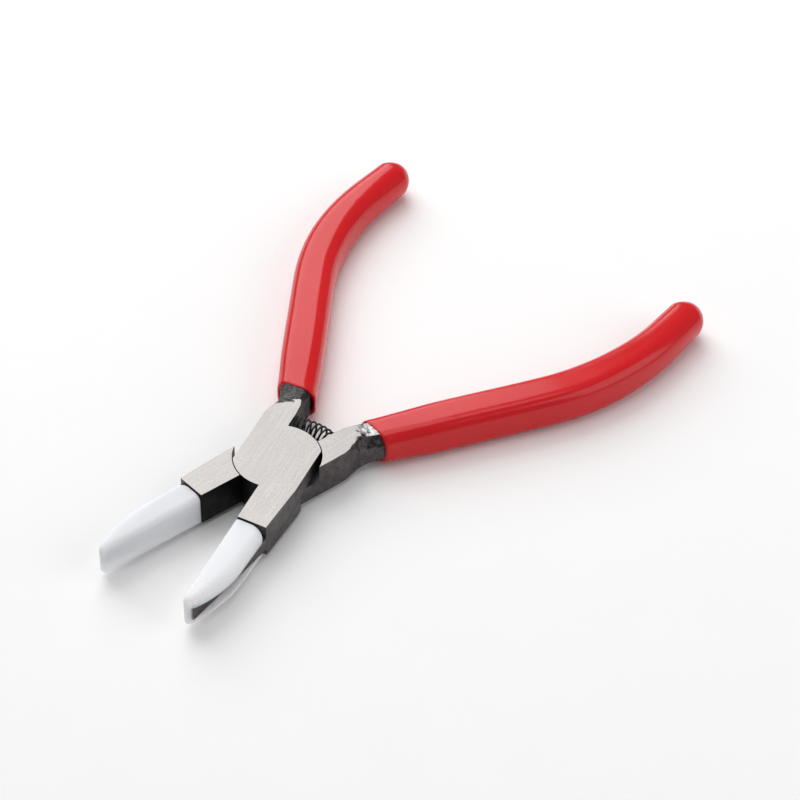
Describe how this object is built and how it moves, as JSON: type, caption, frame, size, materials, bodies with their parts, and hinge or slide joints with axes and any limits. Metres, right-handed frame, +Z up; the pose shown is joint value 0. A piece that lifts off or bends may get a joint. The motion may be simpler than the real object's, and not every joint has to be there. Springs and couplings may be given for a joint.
{
  "type": "flat-nose pliers",
  "caption": "Small flat-nose jewellery pliers with smooth white nylon jaw covers, a lap joint with a return spring, and red dipped handle grips.",
  "frame": {"origin": "on the pivot axis, level with the ground underside of the joint", "axes": "+X towards the jaw tips, +Y towards the jaw of the upper half, +Z up along the pivot axis"},
  "size_m": [0.1393, 0.092, 0.0092],
  "materials": {
    "ground_steel": "satin",
    "dark_steel": "satin",
    "nylon": "satin",
    "red_pvc": "gloss"
  },
  "bodies": {
    "lower": {"lower_half": "ground_steel", "jaw_cover_lower": "nylon", "grip_lower": "red_pvc", "return_spring": "dark_steel"},
    "upper": {"upper_half": "ground_steel", "jaw_cover_upper": "nylon", "grip_upper": "red_pvc", "pivot_rivet": "ground_steel"}
  },
  "joints": [
    {"name": "jaw_pivot", "type": "hinge", "parent": "lower", "child": "upper", "pos_m": [0, 0, 0.004], "axis": [0, 0, -1], "range_deg": [-6, 28], "stiffness_Nm_per_rad": 0.25, "deforming": ["return_spring"]}
  ]
}
